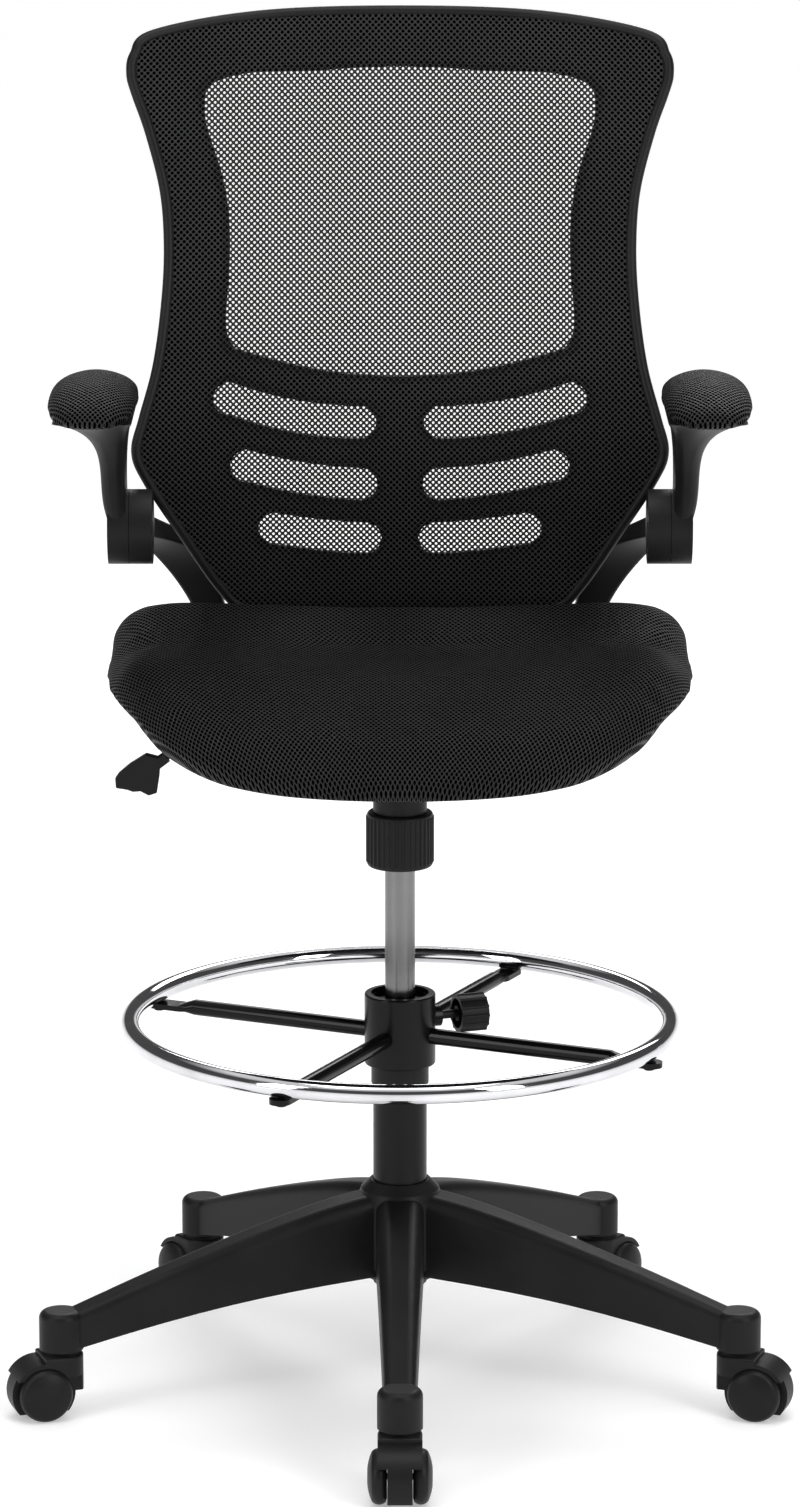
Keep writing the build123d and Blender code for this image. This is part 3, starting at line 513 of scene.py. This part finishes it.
def arm_pad(side, name):
    """Oval upholstered pad: domed on top, rolled lower on its inner side."""
    low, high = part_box(f"arm_pad_{name}")
    middle = Vector(((low.x + high.x) / 2, (low.y + high.y) / 2))
    half = Vector(((high.x - low.x) / 2, (high.y - low.y) / 2))
    angles = np.linspace(0, 2 * math.pi, 64, endpoint=False)
    power = 2 / PAD_SQUARENESS
    plan = np.array([
        (middle.x + half.x * math.copysign(abs(math.cos(a)) ** power, math.cos(a)),
         middle.y + half.y * math.copysign(abs(math.sin(a)) ** power, math.sin(a)))
        for a in angles
    ])
    height = high.z - low.z

    def underside(x, y):
        across, along = (x - middle.x) / half.x, (y - middle.y) / half.y
        return low.z + 0.001 + 0.16 * height * across ** 4 + 0.1 * height * along ** 4

    def top(x, y):
        across, along = (x - middle.x) / half.x * side, (y - middle.y) / half.y
        crown = 0.32 * across ** 2 + 0.42 * abs(along) ** 2.4 + 0.06 * max(-across, 0)
        return high.z - 0.002 - height * crown

    profile = [
        (0, 0), (0.5, 0), (0.8, 0.0), (0.91, 0.07), (0.97, 0.22), (0.99, 0.4), (0.97, 0.62),
        (0.91, 0.82), (0.8, 0.94), (0.6, 0.99), (0.35, 1), (0, 1),
    ]
    pad = closed_form(f"arm_pad_{name}_fabric", plan, profile, underside, top)
    inflate(pad, voxel=0.004, cap=0.004, held_below=low.z + 0.003)
    weave_coordinates(pad, (middle.x, middle.y), high.z, drop_share=0.9)
    dress(pad, "spacer_mesh", f"arm_{name}")
    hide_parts(f"arm_pad_{name}")


arm_pad(-1, "left")
arm_pad(1, "right")

# ---------------------------------------------------------------- back

trim_low, trim_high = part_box("back_trim")
mesh_low, mesh_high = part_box("back_mesh")
back_half = trim_high.x
back_height = trim_high.z - trim_low.z
# share of the half width, share of the height from the sill to the crown
back_side = [
    (0.588, 0.01), (0.677, 0.049), (0.813, 0.145), (0.942, 0.241), (0.981, 0.29), (0.953, 0.344),
    (0.903, 0.426), (0.872, 0.522), (0.86, 0.617), (0.875, 0.713), (0.93, 0.809), (0.981, 0.873),
    (1.0, 0.905), (0.988, 0.936), (0.914, 0.968), (0.529, 0.994), (0.0, 1.0),
]
side_points = [(x * back_half, trim_low.z + t * back_height) for x, t in back_side]
sill_half = 0.428 * back_half
back_loop = (
    side_points + [(-x, z) for x, z in reversed(side_points[:-1])]
    + [(-sill_half, trim_low.z), (sill_half, trim_low.z)]
)
spine_heights = [0.680, 0.760, 0.830, 0.900, 1.000, 1.100, 1.200, 1.265]
spine_depths = [0.232, 0.222, 0.216, 0.220, 0.240, 0.268, 0.300, 0.319]
spine_fine = catmull(np.c_[spine_heights, spine_depths], False, 12)
BACK_SAGITTA = 0.72


def back_y(x, z):
    """Depth of the back's front face: the spine's curve, with the sides coming forward."""
    return np.interp(z, spine_fine[:, 0], spine_fine[:, 1]) - BACK_SAGITTA * np.asarray(x) ** 2


def inside(points, loop):
    """Which (x, z) points lie inside a closed loop."""
    x, z = points[:, 0], points[:, 1]
    hit = np.zeros(len(points), bool)
    for (ax, az), (bx, bz) in zip(loop, np.roll(loop, -1, 0)):
        crosses = (az > z) != (bz > z)
        with np.errstate(divide="ignore", invalid="ignore"):
            at = ax + (z - az) / (bz - az) * (bx - ax)
        hit ^= crosses & (x < at)
    return hit


outline = catmull(back_loop, True, 10)
window_side = [
    (0.155, 0.944), (0.163, 0.960), (0.163, 0.984), (0.160, 1.030), (0.162, 1.075),
    (0.171, 1.115), (0.184, 1.170), (0.180, 1.183), (0.168, 1.190), (0.100, 1.196), (0, 1.200),
]
window_sill = [(-0.113, 0.931), (-0.061, 0.920), (0, 0.916), (0.061, 0.920), (0.113, 0.931)]
window_loop = catmull(window_side + [(-x, z) for x, z in reversed(window_side[:-1])] + window_sill, True, 6)
slot_rows = [
    [(0.038, 0.873), (0.101, 0.880), (0.160, 0.898)],
    [(0.037, 0.814), (0.089, 0.820), (0.144, 0.834)],
    [(0.033, 0.761), (0.076, 0.765), (0.118, 0.772)],
]
OPEN_MARGIN = 0.006
WINDOW_REACH = 0.15
SLOT_RADIUS = 0.0155


def open_cells(points):
    """Cells with nothing behind them: the window and the slots, with a small margin."""
    centre = window_loop.mean(0)
    grown = centre + (window_loop - centre) * (1 + OPEN_MARGIN / WINDOW_REACH)
    is_open = inside(points, grown)
    for row in slot_rows:
        line = catmull(row, False, 8)
        for side in (-1, 1):
            gap = np.min([np.hypot(points[:, 0] - side * x, points[:, 1] - z) for x, z in line], 0)
            is_open |= gap < SLOT_RADIUS + OPEN_MARGIN
    return is_open


# the share of a cell that is strand, and the sides of each hole, two for each corner of its cell
STRAND_SHARE = 0.38
HOLE_SIDES = 8
MESH_TUCK = 0.004
BACK_REACH = 0.25
GRID_REACH = 0.45
YARN_LIFT = 0.0004
HOLE_SINK = 0.0003


def back_fabric():
    """The stretched mesh: one sheet of square cells on their corners, pierced where it is open."""
    step = MESH_PITCH / math.sqrt(2)
    middle = Vector((0, (mesh_low.z + mesh_high.z) / 2))
    reach = int(GRID_REACH / step)
    grid = np.arange(-reach, reach)
    a, b = np.meshgrid(grid, grid, indexing="ij")
    a, b = a.ravel(), b.ravel()

    def flat(i, j):
        return np.c_[(i - j) * step / math.sqrt(2), middle.y + (i + j) * step / math.sqrt(2)]

    centres = flat(a + 0.5, b + 0.5)
    core = outline.mean(0)
    edge = core + (outline - core) * (1 - MESH_TUCK / BACK_REACH)
    keep = inside(centres, edge)
    a, b, centres = a[keep], b[keep], centres[keep]
    pierced = open_cells(centres)
    verts, faces, known = [], [], {}

    def corner(i, j):
        if (i, j) not in known:
            known[(i, j)] = len(verts)
            x, z = flat(np.array([i]), np.array([j]))[0]
            verts.append((x, float(back_y(x, z)) - YARN_LIFT, z))
        return known[(i, j)]

    radius = 0.5 - STRAND_SHARE / 2
    first_turn = 1 + 1 / HOLE_SIDES
    turns = math.pi * (first_turn + 2 * np.arange(HOLE_SIDES) / HOLE_SIDES)
    rim = radius * np.c_[np.cos(turns), np.sin(turns)]
    for i, j, is_open in zip(a, b, pierced):
        ring = [corner(i, j), corner(i + 1, j), corner(i + 1, j + 1), corner(i, j + 1)]
        if not is_open:
            faces.append(ring)
            continue
        first = len(verts)
        for x, z in flat(i + 0.5 + rim[:, 0], j + 0.5 + rim[:, 1]):
            verts.append((x, float(back_y(x, z)) + HOLE_SINK, z))
        for k in range(4):
            near, far = first + 2 * k, first + (2 * k + 1) % HOLE_SIDES
            faces.append((ring[k], far, near))
            faces.append((ring[k], ring[(k + 1) % 4], first + (2 * k + 2) % HOLE_SIDES, far))
    sheet = new_object("back_mesh_fabric", verts, faces, smooth=False)
    write_weave(sheet, np.array([(x, z - middle.y) for x, y, z in verts]))
    return sheet, len(a) * step * step


mesh_sheet, mesh_area = back_fabric()
dress(mesh_sheet, "back_mesh", "seat")
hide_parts("back_mesh")

BEAD_RADIUS = 0.0052
BEAD_SINK = 0.003
bead_core = outline.mean(0)
bead_line = bead_core + (outline - bead_core) * (1 - BEAD_RADIUS / BACK_REACH)
bead_path = np.array([(x, float(back_y(x, z)) + BEAD_SINK, z) for x, z in bead_line])
bead = ring_tube("back_edge_bead", bead_path, BEAD_RADIUS, 14)
dress(bead, "black_nylon", "seat")
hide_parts("back_trim")

# ---------------------------------------------------------------- stage, light and camera


def floor():
    """A plain pale floor that reaches past every view, lit from within, more so further out."""
    size = 60.0
    obj = new_object("floor", [(-size, -size, 0), (size, -size, 0), (size, size, 0), (-size, size, 0)],
                     [(0, 1, 2, 3)], smooth=False)
    s = Shader("floor")
    grain = s.node("ShaderNodeTexNoise", Scale=3.0, Detail=2.0)
    s.link(s.place(), grain.inputs["Vector"])
    colour = s.ramp(grain.outputs["Fac"], [(0.2, grey(0.72)), (0.8, grey(0.76))])
    s.link(colour, s.surface.inputs["Base Color"])
    distance = s.node("ShaderNodeVectorMath", operation="LENGTH")
    s.link(s.place(), distance.inputs[0])
    glow = s.tree.nodes.new("ShaderNodeMapRange")
    for key, value in {"From Min": 1.0, "From Max": 4.0, "To Min": 0.36, "To Max": 0.67}.items():
        glow.inputs[key].default_value = value
    s.link(distance.outputs["Value"], glow.inputs["Value"])
    s.link(glow.outputs["Result"], s.surface.inputs["Emission Strength"])
    s.set(Roughness=0.9, Specular_IOR_Level=0.1, Emission_Color=(1, 1, 1, 1))
    obj.data.materials.append(s.material)


def area_light(name, place, target, size, power):
    """A soft rectangular studio light aimed at a target."""
    data = bpy.data.lights.new(name, "AREA")
    data.shape = "RECTANGLE"
    data.size, data.size_y = size
    data.energy = power
    obj = bpy.data.objects.new(name, data)
    obj.location = place
    obj.rotation_euler = (Vector(target) - Vector(place)).to_track_quat("-Z", "Y").to_euler()
    bpy.context.scene.collection.objects.link(obj)


def studio_world():
    """Surroundings by height: bright near the floor and overhead, darker walls between."""
    world = bpy.data.worlds.new("studio")
    bpy.context.scene.world = world
    world.use_nodes = True
    tree = world.node_tree
    place = tree.nodes.new("ShaderNodeTexCoord")
    split = tree.nodes.new("ShaderNodeSeparateXYZ")
    ramp = tree.nodes.new("ShaderNodeValToRGB")
    levels = [(0.0, 0.95), (0.06, 0.9), (0.16, 0.08), (0.62, 0.07), (0.8, 0.8)]
    elements = ramp.color_ramp.elements
    while len(elements) < len(levels):
        elements.new(0.5)
    for element, (height, level) in zip(elements, levels):
        element.position = height
        element.color = (level, level, level, 1)
    tree.links.new(place.outputs["Generated"], split.inputs[0])
    tree.links.new(split.outputs["Z"], ramp.inputs[0])
    tree.links.new(ramp.outputs[0], tree.nodes["Background"].inputs["Color"])
    tree.nodes["Background"].inputs["Strength"].default_value = 1.0


floor()
studio_world()
area_light("key", (2.3, -2.5, 2.0), (0, 0, 0.7), (0.9, 2.4), 55)
area_light("fill", (-2.5, -2.1, 1.7), (0, 0, 0.7), (0.9, 2.4), 36)
area_light("top", (0, -0.4, 3.4), (0, 0, 0.6), (2.4, 2.0), 50)
area_light("rim", (0.4, 3.2, 2.6), (0, 0, 0.8), (2.6, 1.2), 50)
bpy.context.scene.view_settings.view_transform = "Standard"

CAMERA_PLACE = (0.0, -5.5604, 1.8472)
CAMERA_PITCH = 0.2203
LENS = 148.16
camera_data = bpy.data.cameras.new("camera")
camera_data.lens = LENS
camera_data.sensor_width = 36.0
camera_data.sensor_fit = "AUTO"
camera_data.clip_end = 60
camera = bpy.data.objects.new("camera", camera_data)
camera.location = CAMERA_PLACE
camera.rotation_euler = (math.pi / 2 - CAMERA_PITCH, 0, 0)
bpy.context.scene.collection.objects.link(camera)
bpy.context.scene.camera = camera
